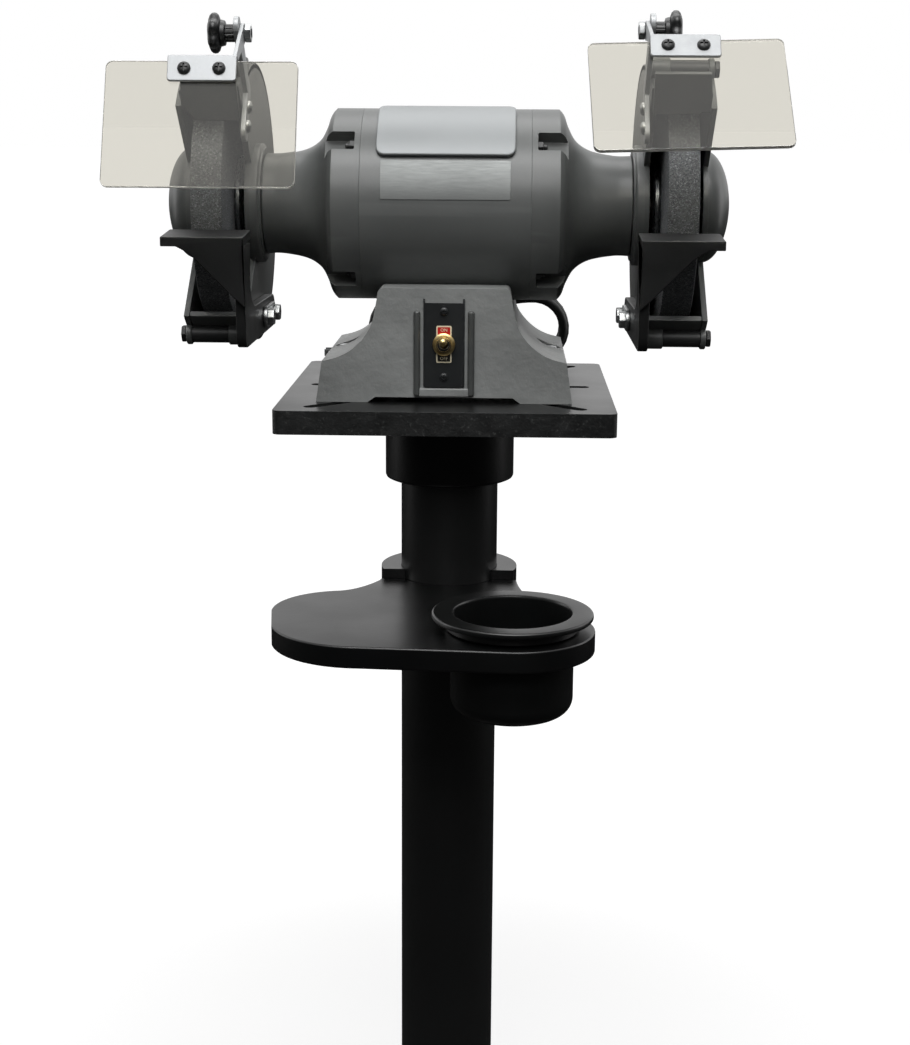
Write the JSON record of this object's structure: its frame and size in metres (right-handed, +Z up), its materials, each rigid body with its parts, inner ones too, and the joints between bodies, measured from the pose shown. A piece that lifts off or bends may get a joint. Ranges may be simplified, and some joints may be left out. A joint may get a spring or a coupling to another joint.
{
  "type": "pedestal bench grinder stand",
  "caption": "Cast pedestal stand with a slotted table, tool tray and quench pot, carrying a bolted-on bench grinder with guards, tool rests and eye shields.",
  "frame": {"origin": "on the floor, on the axis of the column", "axes": "+Z up the column, -Y towards the user, +X to the right of the user"},
  "size_m": [0.5143, 0.414, 1.1118],
  "materials": {
    "stand_black": "gloss black enamel over a casting",
    "pot_black": "satin black enamel",
    "casting_grey": "satin grey enamel over a casting",
    "rest_iron": "dark grey enamel",
    "fastener_steel": "zinc plated",
    "turned_steel": "turned",
    "winding_copper": "varnished winding",
    "abrasive": "bonded grey grit",
    "zinc_plate": "bright zinc",
    "clear_shield": "clear, faint smoky yellow",
    "knob_plastic": "moulded",
    "switch_black": "satin black",
    "switch_brass": "nickelled brass",
    "badge_silver": "satin, bare",
    "cord_rubber": "matt jacket"
  },
  "bodies": {
    "frame": {"floor_base": "stand_black", "column": "stand_black", "table_casting": "stand_black", "base_set_screw": "fastener_steel", "table_set_screw": "fastener_steel", "grinder_base": "casting_grey", "base_bolt_left": "fastener_steel", "base_bolt_right": "fastener_steel", "switch_plate": "switch_black", "switch_body": "knob_plastic", "switch_nut": "switch_brass", "motor_frame": "casting_grey", "stator": "winding_copper", "name_badge": "badge_silver", "run_capacitor": "knob_plastic", "left_end_bell": "casting_grey", "left_bearing": "turned_steel", "left_inner_guard": "casting_grey", "left_outer_cover": "casting_grey", "left_cover_bolt": "fastener_steel", "left_rest_clamp": "fastener_steel", "left_shield_arm": "zinc_plate", "right_end_bell": "casting_grey", "right_bearing": "turned_steel", "right_inner_guard": "casting_grey", "right_outer_cover": "casting_grey", "right_cover_bolt": "fastener_steel", "right_rest_clamp": "fastener_steel", "right_shield_arm": "zinc_plate", "cord_strain_relief": "cord_rubber", "cord_lead": "cord_rubber", "cord_hank": "cord_rubber", "cord_tail": "cord_rubber", "cord_plug": "cord_rubber"},
    "arbor": {"arbor_shaft": "turned_steel", "rotor": "turned_steel", "left_wheel": "abrasive", "left_inner_flange": "turned_steel", "left_outer_flange": "turned_steel", "left_arbor_nut": "turned_steel", "right_wheel": "abrasive", "right_inner_flange": "turned_steel", "right_outer_flange": "turned_steel", "right_arbor_nut": "turned_steel"},
    "toggle": {"switch_lever": "switch_brass"},
    "tray": {"tool_tray": "stand_black", "tray_rear_clamp": "stand_black", "tray_clamp_bolt_left": "fastener_steel", "tray_clamp_bolt_right": "fastener_steel"},
    "pot": {"quench_pot": "pot_black"},
    "left_shield": {"left_shield_bracket": "zinc_plate", "left_eye_shield": "clear_shield"},
    "left_knob": {"left_shield_knob": "knob_plastic"},
    "left_rest": {"left_tool_rest": "rest_iron"},
    "left_arrester": {"left_spark_arrester": "casting_grey"},
    "right_shield": {"right_shield_bracket": "zinc_plate", "right_eye_shield": "clear_shield"},
    "right_knob": {"right_shield_knob": "knob_plastic"},
    "right_rest": {"right_tool_rest": "rest_iron"},
    "right_arrester": {"right_spark_arrester": "casting_grey"}
  },
  "joints": [
    {"name": "arbor_spin", "type": "hinge", "parent": "frame", "child": "arbor", "pos_m": [0, -0.015, 0.9575], "axis": [1, 0, 0], "continuous": true},
    {"name": "switch_toggle", "type": "hinge", "parent": "frame", "child": "toggle", "pos_m": [0, -0.104, 0.849], "axis": [1, 0, 0], "range_deg": [-1, 23]},
    {"name": "tray_height", "type": "slide", "parent": "frame", "child": "tray", "axis": [0, 0, 1], "range_m": [-0.4, 0.03]},
    {"name": "pot_lift", "type": "slide", "parent": "tray", "child": "pot", "axis": [0, 0, 1], "range_m": [0, 0.1]},
    {"name": "left_shield_tilt", "type": "hinge", "parent": "frame", "child": "left_shield", "pos_m": [0, -0.127, 1.093], "axis": [-1, 0, 0], "range_deg": [-22.4, 47.6]},
    {"name": "left_knob_turn", "type": "hinge", "parent": "frame", "child": "left_knob", "pos_m": [0, -0.127, 1.093], "axis": [1, 0, 0], "range_deg": [-180, 180]},
    {"name": "left_rest_slide", "type": "slide", "parent": "frame", "child": "left_rest", "axis": [0, -1, 0], "range_m": [-0.002, 0.018]},
    {"name": "left_arrester_slide", "type": "slide", "parent": "frame", "child": "left_arrester", "axis": [0, -0.7254, 0.6884], "range_m": [-0.0005, 0.0115]},
    {"name": "right_shield_tilt", "type": "hinge", "parent": "frame", "child": "right_shield", "pos_m": [0, -0.127, 1.0965], "axis": [-1, 0, 0], "range_deg": [-39.1, 30.9]},
    {"name": "right_knob_turn", "type": "hinge", "parent": "frame", "child": "right_knob", "pos_m": [0, -0.127, 1.0965], "axis": [1, 0, 0], "range_deg": [-180, 180]},
    {"name": "right_rest_slide", "type": "slide", "parent": "frame", "child": "right_rest", "axis": [0, -1, 0], "range_m": [-0.002, 0.018]},
    {"name": "right_arrester_slide", "type": "slide", "parent": "frame", "child": "right_arrester", "axis": [0, -0.7254, 0.6884], "range_m": [-0.0103, 0.0017]}
  ]
}
